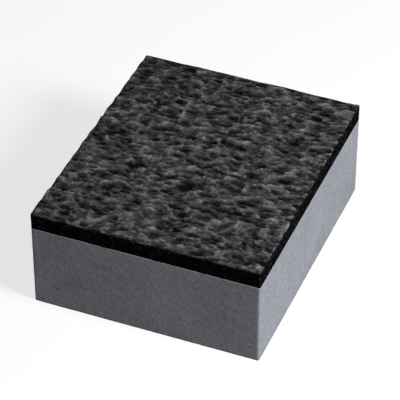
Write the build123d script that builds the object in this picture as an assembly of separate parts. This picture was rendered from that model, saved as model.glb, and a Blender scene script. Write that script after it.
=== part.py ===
from build123d import *
import math
import os
import random

# A two-layer concrete paving block. A plain grey base concrete lies on the bedding sand, and a thin black
# facing concrete is pressed onto it in the same mould. The facing's upper side is the wearing face, rough
# like broken stone.
# Lengths are in millimetres. The origin is in the middle of the bed face, +X runs along the course,
# +Y across the course and +Z up to the wearing face.

# Laying grid: from one block to the next, and the sand joint that is left between two blocks
PITCH_ALONG = 173.0
PITCH_ACROSS = 208.0
JOINT = 3.0

# Height of the whole block, and how much of it is facing
BLOCK_HEIGHT = 80.0
FACING_DEPTH = 14.0

# Rounding that the mould and the press leave on the upright corners and around the wearing face
EDGE_RADIUS = 1.5

# Ridges of the wearing face, which run along the course: from crest to crest, from one bend of a crest to
# the next, and from the highest crests down to the deepest valleys
RIDGE_PITCH = 15.0
RIDGE_BEND = 14.0
RIDGE_DEPTH = 1.8

# How unevenly the ridges run: how far a bend strays, as a share of its distance from the next one, the share
# of the depth in which the crests end, and the number that starts the random draw
BEND_STRAY = 0.3
CREST_SHARE = 0.5
RIDGE_DRAW = 4

# Sizes that follow from the ones above
WIDTH = PITCH_ALONG - JOINT
DEPTH = PITCH_ACROSS - JOINT
BASE_HEIGHT = BLOCK_HEIGHT - FACING_DEPTH


def layer(height, bottom):
    """A sharp-edged layer of the block's full plan size, standing on the level called bottom."""
    return Pos(Z=bottom) * Box(WIDTH, DEPTH, height, align=(Align.CENTER, Align.CENTER, Align.MIN))


def upright_edges(block):
    """The four corners of the plan."""
    return block.edges().filter_by(Axis.Z)


def wearing_edges(block):
    """The four edges around the upper side."""
    return block.edges().group_by(Axis.Z)[-1]


def bend_drop(on_crest, draw):
    """How far a bend lies below the block's full height, to which the press levels about half of the crests."""
    if on_crest:
        return RIDGE_DEPTH * max(0.0, draw.uniform(-CREST_SHARE, CREST_SHARE))
    return RIDGE_DEPTH * draw.uniform(CREST_SHARE, 1.0)


def ridge_line(row, draw):
    """Bends of one crest, on an even row, or of one valley, on an odd row, from past one end of the block to
    past the other. Crests and valleys are staggered, so that the bends of one lie between those of the next."""
    on_crest = row % 2 == 0
    stagger = 0.25 if on_crest else -0.25
    reach = math.ceil(WIDTH / 2.0 / RIDGE_BEND) + 1
    bends = []
    for place in range(-reach, reach + 1):
        along = (place + stagger + draw.uniform(-BEND_STRAY, BEND_STRAY)) * RIDGE_BEND
        across = (row + draw.uniform(-BEND_STRAY, BEND_STRAY)) * RIDGE_PITCH / 2.0
        bends.append(Vector(along, across, BLOCK_HEIGHT - bend_drop(on_crest, draw)))
    return bends


def facets_between(near, far):
    """Three-sided facets of the slope between two lines of bends, facing up."""
    facets = []
    for place in range(len(near) - 1):
        facets.append(Face(Wire.make_polygon([near[place], near[place + 1], far[place]])))
        facets.append(Face(Wire.make_polygon([near[place + 1], far[place + 1], far[place]])))
    return facets


def rough_face():
    """The ridged surface of the wearing face, which reaches past the block on all sides."""
    draw = random.Random(RIDGE_DRAW)
    reach = math.ceil(DEPTH / RIDGE_PITCH) + 1
    lines = [ridge_line(row, draw) for row in range(-reach, reach + 1)]
    facets = []
    for near, far in zip(lines, lines[1:]):
        facets += facets_between(near, far)
    return Shell(facets)


def base_concrete():
    """The grey body: a plain block with a sharp bed, rounded only at its upright corners."""
    body = layer(BASE_HEIGHT, bottom=0.0)
    return fillet(upright_edges(body), EDGE_RADIUS)


def facing_layer():
    """The black wearing course, flush with the base on all four sides, rounded around its upper side and cut
    to the ridges of the wearing face."""
    facing = layer(FACING_DEPTH, bottom=BASE_HEIGHT)
    facing = fillet(upright_edges(facing) + wearing_edges(facing), EDGE_RADIUS)
    return split(facing, bisect_by=rough_face(), keep=Keep.BOTTOM)


PIECES = {
    "base_concrete": base_concrete,
    "facing_layer": facing_layer,
}

os.makedirs("parts", exist_ok=True)
for node, make_piece in PIECES.items():
    export_step(make_piece(), f"parts/{node}.step")
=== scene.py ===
"""Looks of a two-layer concrete paving block: a black facing with a rough, stony top on a plain grey base.

Lengths are in metres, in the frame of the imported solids: the origin is in the middle of the bed face, +X
runs along the course, +Y across the course and +Z up to the wearing face.
"""

import math

import bpy
import numpy as np
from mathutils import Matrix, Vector
from mathutils.bvhtree import BVHTree


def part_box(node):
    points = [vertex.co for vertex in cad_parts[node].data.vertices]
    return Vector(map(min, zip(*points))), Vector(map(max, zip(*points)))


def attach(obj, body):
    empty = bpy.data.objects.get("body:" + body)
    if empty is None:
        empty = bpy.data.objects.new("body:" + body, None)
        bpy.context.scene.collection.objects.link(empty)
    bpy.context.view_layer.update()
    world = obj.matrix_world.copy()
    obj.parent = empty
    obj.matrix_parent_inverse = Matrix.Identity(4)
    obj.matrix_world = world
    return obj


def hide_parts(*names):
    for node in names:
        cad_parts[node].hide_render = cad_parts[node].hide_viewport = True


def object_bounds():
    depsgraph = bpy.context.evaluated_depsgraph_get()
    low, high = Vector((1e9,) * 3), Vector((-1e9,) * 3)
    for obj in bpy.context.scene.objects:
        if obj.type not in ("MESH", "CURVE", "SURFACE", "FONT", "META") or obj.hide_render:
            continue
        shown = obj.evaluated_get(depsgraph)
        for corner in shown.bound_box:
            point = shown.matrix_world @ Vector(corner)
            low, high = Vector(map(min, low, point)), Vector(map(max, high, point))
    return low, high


MM = 0.001

# Rounding of the solids' edges, which the meshes below repeat, and how far inside the outline, in roundings,
# the solid's ridges are read
EDGE_RADIUS = 1.5 * MM
RIDGE_INSET = 1.1

# Mesh spacing on the wearing face, down the facing's sides, and on the base
TOP_SPACING = 0.66 * MM
FACING_ROW = 1.0 * MM
BASE_SPACING = 0.95 * MM

# How far below the rim the sides follow the solid's ridges up and down
SETTLE_REACH = 7.0 * MM

# Scoops of the broken stone, which meet in sharp crests: their size across the course, how much longer they
# are along it, how high the crests rise, how often smaller scoops lie in them and how much weaker each time,
# and how hollow, how unevenly deep and how tilted the scoops are
SCOOP_SIZE = 2.9 * MM
SCOOP_STRETCH = 2.1
SCOOP_HEIGHT = 1.5 * MM
SCOOP_OCTAVES = 2
SCOOP_CARRY = 0.6
SCOOP_HOLLOW = 0.6
SCOOP_STEP = 0.4
SCOOP_TILT = 1.0

# How far the rows of scoops sway from side to side, and over what length
SWAY_REACH = 2.5 * MM
SWAY_SIZE = 36.0 * MM

# Roughness of the stone in the scoops, down to sand grains
BREAK_SIZE = 1.7 * MM
BREAK_HEIGHT = 0.2 * MM
BREAK_CARRY = 0.66
BREAK_OCTAVES = 3
BREAK_STRETCH = 1.4

# Share of the wearing face, in percent, that lies below the level of its flattened crests
CREST_SHARE = 98.5

# Wear and painted light of the wearing face, in its colour by height: the crests' grey is partly worn stone
# and partly painted highlight, and the hollows' black is partly dark stone and partly painted shade. How
# much the solid's ridges count in it, next to the finer ones, the shares of the surface, in percent, at
# which it starts and ends, and how steeply it sets in
DROP_WEAR_AND_SHADE = 0.1
WEAR_AND_SHADE_RANGE = (1.0, 99.5)
WEAR_AND_SHADE_BEND = 1.8

# Slope at which the relief of the wearing face gives way to the moulded sides
SIDE_SLOPE = (0.2, 0.75)

# Skin of the moulded sides: sand grain, air pores, whose rim and least radius and depth are shares of their
# greatest ones, nicks along the edges, and a shallow, even seam
SKIN_SIZE = 2.6 * MM
SKIN_DEPTH = 0.14 * MM
PORE_SPACING = 6.0 * MM
PORE_RADIUS = 1.25 * MM
PORE_DEPTH = 0.55 * MM
PORE_RIM = (0.35, 1.0)
LEAST_PORE_RADIUS = 0.25
LEAST_PORE_DEPTH = 0.3
NICK_SIZE = 5.0 * MM
NICK_DEPTH = 0.15 * MM
NICK_REACH = 1.6 * MM
NICK_ONSET = (0.15, 0.75)
NICK_GRAIN = 0.35
SEAM_DEPTH = 0.12 * MM
SEAM_REACH = 0.1 * MM

# Sand grains that show in the black sides, and their share of the surface
SAND_SIZE = 1.3 * MM
SAND_SHARE = 0.07

# Colours, in linear light
# The hollows' black below is partly painted shade, and the crests' grey partly painted highlight on worn
# stone
PIT_BLACK_AND_SHADE = (0.0050, 0.0050, 0.0055)
CREST_WEAR_AND_HIGHLIGHT = (0.236, 0.238, 0.234)
SIDE_SKIN = (0.005, 0.005, 0.0055)
SAND_GREY = (0.030, 0.030, 0.031)
BASE_GREY = (0.380, 0.392, 0.438)

# Painted shade in the pores: how much darker their colour is made than the sides around them
FACING_PORE_PAINTED_SHADE = 0.5
BASE_PORE_PAINTED_SHADE = 0.55

# Grain of the materials, in features per metre, the part of a noise's values that is used, and how much the
# drag marks are drawn out upright
FACING_SPECKLE = 1500.0
FACING_PATCH = 45.0
FACING_GRAIN = 420.0
FACING_BUMP = 600.0
BASE_DRAG = 420.0
BASE_CLOUD = 28.0
BASE_SAND = 1300.0
BASE_GRAIN = 650.0
BASE_BUMP = 800.0
NOISE_RANGE = (0.3, 0.7)
GRAIN_RANGE = (0.0, 1.0)
DRAG_SQUEEZE = (1.0, 1.0, 0.06)

# Numbers that start the random draws
FACING_SKIN_DRAW = 71
SAND_DRAW = 83
FACING_NICK_DRAW = 91
BASE_SKIN_DRAW = 111
SWAY_DRAW = 121
BASE_NICK_DRAW = 131
SCOOP_DRAW = 221
BREAK_DRAW = 421

# The photograph's view of the block, and how much of the picture the block takes up
AZIMUTH = 22.0
ELEVATION = 38.9
DISTANCE = 1.64
LENS = 205.0

# Studio: the key light's direction, distance, size and power, the even light from all round, and the floor's
# width, its grey as a source of light, and its grey and glow as seen
KEY_DIRECTION = (0.77, -0.16, 0.60)
KEY_DISTANCE = 1.3
KEY_SIZE = 0.4
KEY_POWER = 15.7
EVEN_LIGHT = 0.148
FLOOR_WIDTH = 12.0
FLOOR_DULL = (0.16, 0.16, 0.16, 1.0)
FLOOR_WHITE = (0.42, 0.42, 0.42, 1.0)
FLOOR_GLOW = (0.72, 0.72, 0.72, 1.0)
WHITE = (1.0, 1.0, 1.0, 1.0)

# Whole numbers that scramble a cell's place into a random number
HASH_FACTORS = (0x9E3779B1, 0x85EBCA77, 0xC2B2AE3D)
HASH_MIX = 0x27D4EB2F


def lattice_random(cell, seed):
    """A random number from 0 to 1 for each whole-numbered cell, the same one for the same cell and seed."""
    mixed = np.full(cell.shape[:-1], seed, np.uint32) * np.uint32(HASH_MIX)
    for axis, factor in enumerate(HASH_FACTORS):
        mixed = (mixed ^ cell[..., axis].astype(np.uint32)) * np.uint32(factor)
        mixed ^= mixed >> np.uint32(15)
    return mixed / float(0xFFFFFFFF)


def smooth_step(low, high, value):
    """0 up to low, 1 from high on, and a soft ramp between."""
    share = np.clip((value - low) / (high - low), 0.0, 1.0)
    return share * share * (3.0 - 2.0 * share)


def soft_noise(points, size, seed):
    """Smooth noise of that grain size, from about -1 to 1."""
    scaled = points / size
    cell = np.floor(scaled).astype(np.int64)
    inside = scaled - cell
    blend = inside ** 3 * (inside * (6.0 * inside - 15.0) + 10.0)
    total = np.zeros(len(points))
    for corner in np.ndindex(2, 2, 2):
        corner = np.array(corner)
        weight = np.prod(np.where(corner, blend, 1.0 - blend), axis=1)
        slope = np.stack([lattice_random(cell + corner, seed + axis) for axis in range(3)], axis=1)
        total += weight * ((inside - corner) * (2.0 * slope - 1.0)).sum(axis=1)
    return 2.0 * total


def rough_noise(points, size, seed, octaves=4, carry=0.5):
    """Noise of that grain size with finer grain on top, each octave half as large and weaker by a factor."""
    total = np.zeros(len(points))
    for octave in range(octaves):
        total += soft_noise(points, size / 2 ** octave, seed + 3 * octave) * carry ** octave
    return total


def shaken(points, reach, size, seed):
    """Points moved about by rough noise, so that what is drawn through them wanders."""
    moves = [rough_noise(points, size, seed + 9 * axis, octaves=3) for axis in range(3)]
    return points + reach * np.stack(moves, axis=1)


def cells(points, size, seed):
    """The nearest of the scattered centres to each point: its offset and its own random numbers."""
    home = np.floor(points / size).astype(np.int64)
    nearest = np.full(len(points), np.inf)
    offset = np.zeros_like(points)
    lot = np.zeros_like(points)
    for step in np.ndindex(3, 3, 3):
        cell = home + np.array(step) - 1
        shift = np.stack([lattice_random(cell, seed + axis) for axis in range(3)], axis=1)
        away = points - (cell + shift) * size
        distance = np.linalg.norm(away, axis=1)
        closer = distance < nearest
        nearest[closer] = distance[closer]
        offset[closer] = away[closer]
        for axis in range(3):
            lot[closer, axis] = lattice_random(cell[closer], seed + 3 + axis)
    return offset, lot


def squeezed(points, factor):
    """Points drawn together along the course, so that noise taken there runs longer that way."""
    return points / np.array([factor, 1.0, 1.0])


def scoops(points, size, seed):
    """Scoops that meet in sharp crests, from 0 in the deepest ones to about 1 on the highest crests."""
    scaled = points / size
    home = np.floor(scaled).astype(np.int64)
    home[:, 2] = 0
    lowest = np.full(len(points), np.inf)
    for step in np.ndindex(3, 3):
        cell = home + np.array([step[0] - 1, step[1] - 1, 0])
        lot = np.stack([lattice_random(cell, seed + place) for place in range(5)], axis=1)
        away = scaled[:, :2] - cell[:, :2] - lot[:, :2]
        scoop = SCOOP_HOLLOW * (away ** 2).sum(axis=1) + SCOOP_STEP * lot[:, 2]
        scoop += SCOOP_TILT * (away * (2.0 * lot[:, 3:] - 1.0)).sum(axis=1)
        lowest = np.minimum(lowest, scoop)
    return lowest


def broken_stone(points):
    """Rows of scoops along the course with smaller scoops in them, swaying from side to side."""
    swaying = squeezed(shaken(points, SWAY_REACH, SWAY_SIZE, SWAY_DRAW), SCOOP_STRETCH)
    total = np.zeros(len(points))
    for octave in range(SCOOP_OCTAVES):
        scoop = scoops(swaying, SCOOP_SIZE / 2 ** octave, SCOOP_DRAW + 7 * octave)
        total += scoop * SCOOP_CARRY ** octave
    return total


def wearing_face(points, drop):
    """Rise of the fine relief at each point, and the colour there: black in the hollows, partly dark stone
    and partly painted shade, and grey on the crests, partly worn stone and partly painted highlight, both of
    the fine relief and of the solid's ridges, which lie lower by the drop and are painted darker for it."""
    long_points = squeezed(points, BREAK_STRETCH)
    roughness = rough_noise(long_points, BREAK_SIZE, BREAK_DRAW, BREAK_OCTAVES, BREAK_CARRY)
    rise = SCOOP_HEIGHT * broken_stone(points) + BREAK_HEIGHT * roughness
    height = rise - DROP_WEAR_AND_SHADE * drop
    # Colour by height: painted shade in the hollows and painted highlight on the crests, on top of worn
    # crests
    low, high = np.percentile(height, WEAR_AND_SHADE_RANGE)
    worn_and_lit = np.clip((height - low) / (high - low), 0.0, 1.0)[:, None] ** WEAR_AND_SHADE_BEND
    colour = np.array(PIT_BLACK_AND_SHADE) * (1.0 - worn_and_lit) + np.array(CREST_WEAR_AND_HIGHLIGHT) * worn_and_lit
    return rise, colour


def ridge_drop(solid, places, top):
    """How far the solid's upper side lies below its top at each place in plan."""
    corners = [corner.co for corner in solid.data.vertices]
    tree = BVHTree.FromPolygons(corners, [tuple(face.vertices) for face in solid.data.polygons])
    hits = [tree.ray_cast((x, y, top + 1.0), (0.0, 0.0, -1.0))[0] for x, y in places]
    return top - np.array([hit.z for hit in hits])


def box_rounded(points, low, high, radius):
    """Points on a box's sides and top, moved onto the same box with rounded upright and upper edges, and
    the outward direction at each."""
    inner_low = low + np.array([radius, radius, -radius])
    inner_high = high - radius
    core = np.clip(points, inner_low, inner_high)
    outward = points - core
    outward /= np.linalg.norm(outward, axis=1, keepdims=True)
    return core + radius * outward, outward


def border_loop(columns, rows):
    """Numbers of the border points of a grid of points, anticlockwise from its first corner."""
    number = np.arange(columns * rows).reshape(rows, columns)
    return np.concatenate([number[0, :-1], number[:-1, -1], number[-1, :0:-1], number[:0:-1, 0]])


def grid_faces(columns, rows):
    """Four-sided faces of a grid of points, facing up."""
    number = np.arange(columns * rows).reshape(rows, columns)
    corners = [number[:-1, :-1], number[:-1, 1:], number[1:, 1:], number[1:, :-1]]
    return np.stack(corners, axis=-1).reshape(-1, 4)


def band_faces(upper, lower):
    """Four-sided faces between two loops of points, one above the other, facing out."""
    return np.stack([upper, lower, np.roll(lower, -1), np.roll(upper, -1)], axis=1)


def ring_faces(first, loop_length, rings):
    """Faces between loops of points that lie one below the other, numbered on from first."""
    number = first + np.arange(rings * loop_length).reshape(rings, loop_length)
    return np.concatenate([band_faces(number[k], number[k + 1]) for k in range(rings - 1)]), number


def plan_grid(low, high, level, spacing):
    """A grid of points over a box's plan at that level, and how many columns and rows it has."""
    columns, rows = (int(round(length / spacing)) + 1 for length in (high - low)[:2])
    x, y = np.meshgrid(np.linspace(low[0], high[0], columns), np.linspace(low[1], high[1], rows))
    return np.stack([x.ravel(), y.ravel(), np.full(x.size, level)], axis=1), columns, rows


def side_loops(border, levels):
    """The border's points repeated at each level."""
    return [np.column_stack([border[:, :2], np.full(len(border), level)]) for level in levels]


def make_piece(name, points, smooth_faces, flat_faces, colours, material):
    """A piece of the block from its points, its faces, shaded smooth or flat, and a colour at each point."""
    mesh = bpy.data.meshes.new(name)
    mesh.from_pydata(points.tolist(), [], smooth_faces + flat_faces)
    mesh.polygons.foreach_set("use_smooth", [True] * len(smooth_faces) + [False] * len(flat_faces))
    attribute = mesh.attributes.new("stone", "FLOAT_COLOR", "POINT")
    rgba = np.concatenate([colours, np.ones((len(points), 1))], axis=1)
    attribute.data.foreach_set("color", rgba.astype(np.float32).ravel())
    mesh.materials.append(material)
    mesh.validate()
    mesh.update()
    piece = bpy.data.objects.new(name, mesh)
    bpy.context.scene.collection.objects.link(piece)
    return piece


def nicks(points, edge_distance, seed):
    """Depth of the small chips knocked off an edge, at points that lie that far from it."""
    bite = smooth_step(*NICK_ONSET, soft_noise(points, NICK_SIZE, seed))
    bite += NICK_GRAIN * (rough_noise(points, NICK_SIZE / 2.0, seed + 1) + 1.0) / 2.0
    return NICK_DEPTH * bite * (1.0 - smooth_step(0.0, NICK_REACH, edge_distance))


def skin(points, seed):
    """Depth of a moulded side below its mould: fine sand grain and a few air pores."""
    grain = SKIN_DEPTH * (rough_noise(points, SKIN_SIZE, seed) + 1.0) / 2.0
    offset, lot = cells(points, PORE_SPACING, seed + 10)
    radius = PORE_RADIUS * (LEAST_PORE_RADIUS + (1.0 - LEAST_PORE_RADIUS) * lot[:, 0] ** 3)
    reach = np.linalg.norm(offset, axis=1) / radius
    fullest = PORE_DEPTH * (LEAST_PORE_DEPTH + (1.0 - LEAST_PORE_DEPTH) * lot[:, 1])
    pore = fullest * (1.0 - smooth_step(*PORE_RIM, reach))
    return np.maximum(grain, 0.0) + pore, pore / PORE_DEPTH


def facing_shape():
    """Points, faces and colours of the facing: a dense grid on top, loops down its sides and one flat face
    underneath. Its highest stones reach the solid's upper side, and everything else lies below it."""
    low, high = (np.array(corner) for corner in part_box("facing_layer"))
    top, columns, rows = plan_grid(low, high, high[2], TOP_SPACING)
    loop = border_loop(columns, rows)
    levels = np.linspace(high[2], low[2], int(round((high - low)[2] / FACING_ROW)) + 1)[1:]
    surface = np.concatenate([top] + side_loops(top[loop], levels))
    points, outward = box_rounded(surface, low, high, EDGE_RADIUS)

    inset = RIDGE_INSET * EDGE_RADIUS
    inner = np.clip(top[:, :2], low[:2] + inset, high[:2] - inset)
    drop = ridge_drop(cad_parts["facing_layer"], inner, high[2])
    drop = np.concatenate([drop] + [drop[loop]] * len(levels))
    upward = smooth_step(*SIDE_SLOPE, outward[:, 2])
    rise, top_wear_and_painted_light = wearing_face(points, drop)
    points[:, 2] -= drop * (1.0 - smooth_step(EDGE_RADIUS, SETTLE_REACH, high[2] - points[:, 2]))
    side_depth, pore = skin(points, FACING_SKIN_DRAW)
    to_rim = np.maximum(high[2] - points[:, 2], 0.0)
    side_depth = side_depth + nicks(points, to_rim, FACING_NICK_DRAW)
    crest_level = np.percentile(rise[:len(top)], CREST_SHARE)
    depth = upward * (crest_level - rise) + (1.0 - upward) * side_depth
    depth = np.maximum(depth, 0.0)
    seam = points[:, 2] < low[2] + SEAM_REACH
    depth[seam] = np.minimum(depth[seam], SEAM_DEPTH)
    points = points - outward * depth[:, None]
    sand = lattice_random(np.floor(points / SAND_SIZE).astype(np.int64), SAND_DRAW) < SAND_SHARE
    side_colour = np.where(sand[:, None], SAND_GREY, SIDE_SKIN)
    # Painted shade in the facing's pores
    side_colour = side_colour * (1.0 - FACING_PORE_PAINTED_SHADE * pore[:, None])
    # The wearing face's colour carries painted shade in its hollows and painted highlight on its crests
    colours = upward[:, None] * top_wear_and_painted_light + (1.0 - upward[:, None]) * side_colour

    bands, rings = ring_faces(len(top), len(loop), len(levels))
    smooth = grid_faces(columns, rows).tolist() + band_faces(loop, rings[0]).tolist() + bands.tolist()
    flat = [rings[-1][::-1].tolist()]
    return points, smooth, flat, colours


def base_shape():
    """Points, faces and colours of the base: a grid on its bed face, loops round its sides and one flat face
    on top."""
    low, high = (np.array(corner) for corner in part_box("base_concrete"))
    size = high - low
    bed, columns, rows = plan_grid(low, high, low[2], BASE_SPACING)
    loop = border_loop(columns, rows)
    levels = np.linspace(high[2], low[2], int(round(size[2] / BASE_SPACING)) + 1)[:-1]
    points = np.concatenate([bed] + side_loops(bed[loop], levels))
    outward = np.tile([0.0, 0.0, -1.0], (len(points), 1))
    upright = np.concatenate([loop, np.arange(len(bed), len(points))])
    unrounded_top = high + np.array([0.0, 0.0, 2.0 * EDGE_RADIUS])
    points[upright], outward[upright] = box_rounded(points[upright], low, unrounded_top, EDGE_RADIUS)

    depth, pore = skin(points, BASE_SKIN_DRAW)
    to_sides = size[:2] / 2.0 - np.abs(points[:, :2])
    to_faces = np.column_stack([to_sides, points[:, 2] - low[2]])
    to_edge = np.sort(to_faces, axis=1)[:, 1]
    depth = depth + nicks(points, to_edge, BASE_NICK_DRAW)
    seam = points[:, 2] > high[2] - SEAM_REACH
    depth[seam] = np.minimum(depth[seam], SEAM_DEPTH)
    points = points - outward * np.maximum(depth, 0.0)[:, None]
    # Painted shade in the base's pores
    colours = np.array(BASE_GREY) * (1.0 - BASE_PORE_PAINTED_SHADE * pore[:, None])

    bands, rings = ring_faces(len(bed), len(loop), len(levels))
    smooth = bands.tolist() + band_faces(rings[-1], loop).tolist()
    flat = grid_faces(columns, rows)[:, ::-1].tolist() + [rings[0].tolist()]
    return points, smooth, flat, colours


def new_material(name):
    """An empty node material with its output, ready for a Principled shader."""
    material = bpy.data.materials.new(name)
    material.use_nodes = True
    return material, material.node_tree.nodes, material.node_tree.links


def noise_node(nodes, links, place, scale, detail, roughness):
    """Noise over the block's own coordinates, with scale in features per metre."""
    noise = nodes.new("ShaderNodeTexNoise")
    noise.inputs["Scale"].default_value = scale
    noise.inputs["Detail"].default_value = detail
    noise.inputs["Roughness"].default_value = roughness
    links.new(place, noise.inputs["Vector"])
    return noise.outputs["Fac"]


def ramp_node(nodes, links, value, low, high, out_low, out_high):
    """The value between low and high, stretched to run from out_low to out_high."""
    ramp = nodes.new("ShaderNodeMapRange")
    for name, number in (("From Min", low), ("From Max", high), ("To Min", out_low), ("To Max", out_high)):
        ramp.inputs[name].default_value = number
    links.new(value, ramp.inputs["Value"])
    return ramp.outputs["Result"]


def multiply_node(nodes, links, colour, factor):
    """A colour made lighter or darker by a factor."""
    scale = nodes.new("ShaderNodeVectorMath")
    scale.operation = "SCALE"
    links.new(colour, scale.inputs[0])
    links.new(factor, scale.inputs["Scale"])
    return scale.outputs["Vector"]


def bump_node(nodes, links, height, strength, distance, normal=None):
    """Relief too fine for the mesh."""
    bump = nodes.new("ShaderNodeBump")
    bump.inputs["Strength"].default_value = strength
    bump.inputs["Distance"].default_value = distance
    links.new(height, bump.inputs["Height"])
    if normal is not None:
        links.new(normal, bump.inputs["Normal"])
    return bump.outputs["Normal"]


def stone_colour(nodes):
    """The colour that the mesh carries at each point, with painted shade in the hollows and pores and
    painted highlight on the crests.
    """
    attribute = nodes.new("ShaderNodeAttribute")
    attribute.attribute_name = "stone"
    return attribute.outputs["Color"]


def grain_node(nodes, links, place, scale):
    """A random number for each grain of stone, with scale in grains per metre."""
    grains = nodes.new("ShaderNodeTexVoronoi")
    grains.inputs["Scale"].default_value = scale
    links.new(place, grains.inputs["Vector"])
    split = nodes.new("ShaderNodeSeparateColor")
    links.new(grains.outputs["Color"], split.inputs["Color"])
    return split.outputs["Red"]


def facing_material():
    """Black concrete with dark broken stone: grains of differing grey, mineral speckle and dull paste."""
    material, nodes, links = new_material("facing_concrete")
    shader = nodes["Principled BSDF"]
    place = nodes.new("ShaderNodeTexCoord").outputs["Object"]
    speckle = noise_node(nodes, links, place, FACING_SPECKLE, 3.0, 0.7)
    patch = noise_node(nodes, links, place, FACING_PATCH, 3.0, 0.6)
    grain = grain_node(nodes, links, place, FACING_GRAIN)
    colour = stone_colour(nodes)
    colour = multiply_node(nodes, links, colour, ramp_node(nodes, links, speckle, *NOISE_RANGE, 0.6, 1.45))
    colour = multiply_node(nodes, links, colour, ramp_node(nodes, links, grain, *GRAIN_RANGE, 0.7, 1.3))
    colour = multiply_node(nodes, links, colour, ramp_node(nodes, links, patch, *NOISE_RANGE, 0.82, 1.18))
    links.new(colour, shader.inputs["Base Color"])
    roughness = ramp_node(nodes, links, speckle, *NOISE_RANGE, 0.85, 0.55)
    links.new(roughness, shader.inputs["Roughness"])
    shader.inputs["Specular IOR Level"].default_value = 0.0
    coarse = noise_node(nodes, links, place, FACING_BUMP, 5.0, 0.7)
    links.new(bump_node(nodes, links, coarse, 0.8, 0.5 * MM), shader.inputs["Normal"])
    return material


def base_material():
    """Plain grey pressed concrete: cloudy cement colour, sand grain and faint upright drag marks."""
    material, nodes, links = new_material("base_concrete")
    shader = nodes["Principled BSDF"]
    place = nodes.new("ShaderNodeTexCoord").outputs["Object"]
    stretch = nodes.new("ShaderNodeMapping")
    stretch.inputs["Scale"].default_value = DRAG_SQUEEZE
    links.new(place, stretch.inputs["Vector"])
    drag = noise_node(nodes, links, stretch.outputs["Vector"], BASE_DRAG, 3.0, 0.6)
    cloud = noise_node(nodes, links, place, BASE_CLOUD, 4.0, 0.55)
    sand = noise_node(nodes, links, place, BASE_SAND, 2.0, 0.6)
    grain = grain_node(nodes, links, place, BASE_GRAIN)
    colour = stone_colour(nodes)
    colour = multiply_node(nodes, links, colour, ramp_node(nodes, links, cloud, *NOISE_RANGE, 0.90, 1.09))
    colour = multiply_node(nodes, links, colour, ramp_node(nodes, links, drag, *NOISE_RANGE, 0.96, 1.04))
    colour = multiply_node(nodes, links, colour, ramp_node(nodes, links, sand, *NOISE_RANGE, 0.82, 1.16))
    colour = multiply_node(nodes, links, colour, ramp_node(nodes, links, grain, *GRAIN_RANGE, 0.88, 1.12))
    links.new(colour, shader.inputs["Base Color"])
    roughness = ramp_node(nodes, links, sand, *NOISE_RANGE, 0.95, 0.82)
    links.new(roughness, shader.inputs["Roughness"])
    shader.inputs["Specular IOR Level"].default_value = 0.1
    fine = noise_node(nodes, links, place, BASE_BUMP, 4.0, 0.65)
    rough = bump_node(nodes, links, fine, 0.6, 0.35 * MM)
    links.new(bump_node(nodes, links, drag, 0.3, 0.12 * MM, rough), shader.inputs["Normal"])
    return material


def seen_directly(nodes, links):
    """1 for rays from the camera and from glossy or clear surfaces, and 0 for rays that only bring light."""
    path = nodes.new("ShaderNodeLightPath")
    total = path.outputs["Is Camera Ray"]
    for name in ("Is Glossy Ray", "Is Transmission Ray"):
        add = nodes.new("ShaderNodeMath")
        add.operation = "MAXIMUM"
        links.new(total, add.inputs[0])
        links.new(path.outputs[name], add.inputs[1])
        total = add.outputs["Value"]
    return total


def make_floor():
    """A white floor that keeps a soft shadow and throws little light back at the block."""
    bpy.ops.mesh.primitive_plane_add(size=FLOOR_WIDTH)
    floor = bpy.context.object
    floor.name = "floor"
    material, nodes, links = new_material("floor")
    nodes.remove(nodes["Principled BSDF"])
    dull = nodes.new("ShaderNodeBsdfDiffuse")
    dull.inputs["Color"].default_value = FLOOR_DULL
    white = nodes.new("ShaderNodeBsdfDiffuse")
    white.inputs["Color"].default_value = FLOOR_WHITE
    glow = nodes.new("ShaderNodeEmission")
    glow.inputs["Color"].default_value = FLOOR_GLOW
    lit = nodes.new("ShaderNodeAddShader")
    links.new(white.outputs["BSDF"], lit.inputs[0])
    links.new(glow.outputs["Emission"], lit.inputs[1])
    mix = nodes.new("ShaderNodeMixShader")
    links.new(seen_directly(nodes, links), mix.inputs["Fac"])
    links.new(dull.outputs["BSDF"], mix.inputs[1])
    links.new(lit.outputs["Shader"], mix.inputs[2])
    links.new(mix.outputs["Shader"], nodes["Material Output"].inputs["Surface"])
    floor.data.materials.append(material)


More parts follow.
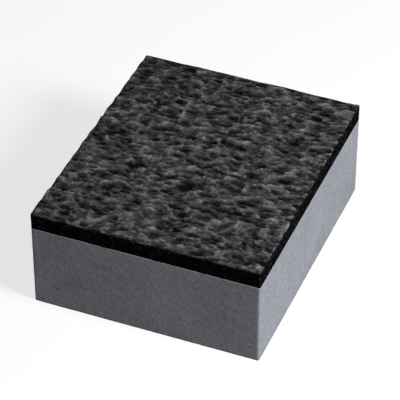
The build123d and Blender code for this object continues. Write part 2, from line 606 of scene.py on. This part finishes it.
def make_world():
    """White to look at, and a weak even light from all round."""
    world = bpy.data.worlds.new("studio")
    bpy.context.scene.world = world
    world.use_nodes = True
    nodes, links = world.node_tree.nodes, world.node_tree.links
    weak = nodes["Background"]
    weak.inputs["Color"].default_value = WHITE
    weak.inputs["Strength"].default_value = EVEN_LIGHT
    white = nodes.new("ShaderNodeBackground")
    white.inputs["Color"].default_value = WHITE
    mix = nodes.new("ShaderNodeMixShader")
    links.new(seen_directly(nodes, links), mix.inputs["Fac"])
    links.new(weak.outputs["Background"], mix.inputs[1])
    links.new(white.outputs["Background"], mix.inputs[2])
    links.new(mix.outputs["Shader"], nodes["World Output"].inputs["Surface"])


def make_light(name, direction, distance, size, power, target):
    """A square soft light that far from the target, turned towards it."""
    data = bpy.data.lights.new(name, "AREA")
    data.size = size
    data.energy = power
    light = bpy.data.objects.new(name, data)
    towards = Vector(direction).normalized()
    light.location = target + towards * distance
    light.rotation_euler = (-towards).to_track_quat("-Z", "Y").to_euler()
    bpy.context.scene.collection.objects.link(light)


def make_camera(target):
    """The photograph's view of the block, with the block filling the picture."""
    data = bpy.data.cameras.new("camera")
    data.lens = LENS
    camera = bpy.data.objects.new("camera", data)
    turn, rise = math.radians(AZIMUTH), math.radians(ELEVATION)
    back = Vector((math.sin(turn) * math.cos(rise), -math.cos(turn) * math.cos(rise), math.sin(rise)))
    camera.location = target + back * DISTANCE
    camera.rotation_euler = (-back).to_track_quat("-Z", "Y").to_euler()
    bpy.context.scene.collection.objects.link(camera)
    bpy.context.scene.camera = camera


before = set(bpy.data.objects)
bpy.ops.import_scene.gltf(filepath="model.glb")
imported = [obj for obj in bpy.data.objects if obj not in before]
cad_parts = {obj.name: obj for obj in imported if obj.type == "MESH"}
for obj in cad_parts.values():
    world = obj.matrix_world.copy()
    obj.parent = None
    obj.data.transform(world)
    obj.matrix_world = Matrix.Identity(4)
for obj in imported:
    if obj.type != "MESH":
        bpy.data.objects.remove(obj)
solid_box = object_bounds()
middle = (solid_box[0] + solid_box[1]) / 2.0
bpy.context.scene.view_settings.view_transform = "Standard"

facing = make_piece("facing", *facing_shape(), facing_material())
base = make_piece("base", *base_shape(), base_material())
for piece, node, slot in (
    (facing, "facing_layer", "facing_concrete"),
    (base, "base_concrete", "base_concrete"),
):
    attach(piece, "root")
    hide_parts(node)

make_floor()
make_world()
make_light("key", KEY_DIRECTION, KEY_DISTANCE, KEY_SIZE, KEY_POWER, middle)
make_camera(middle)
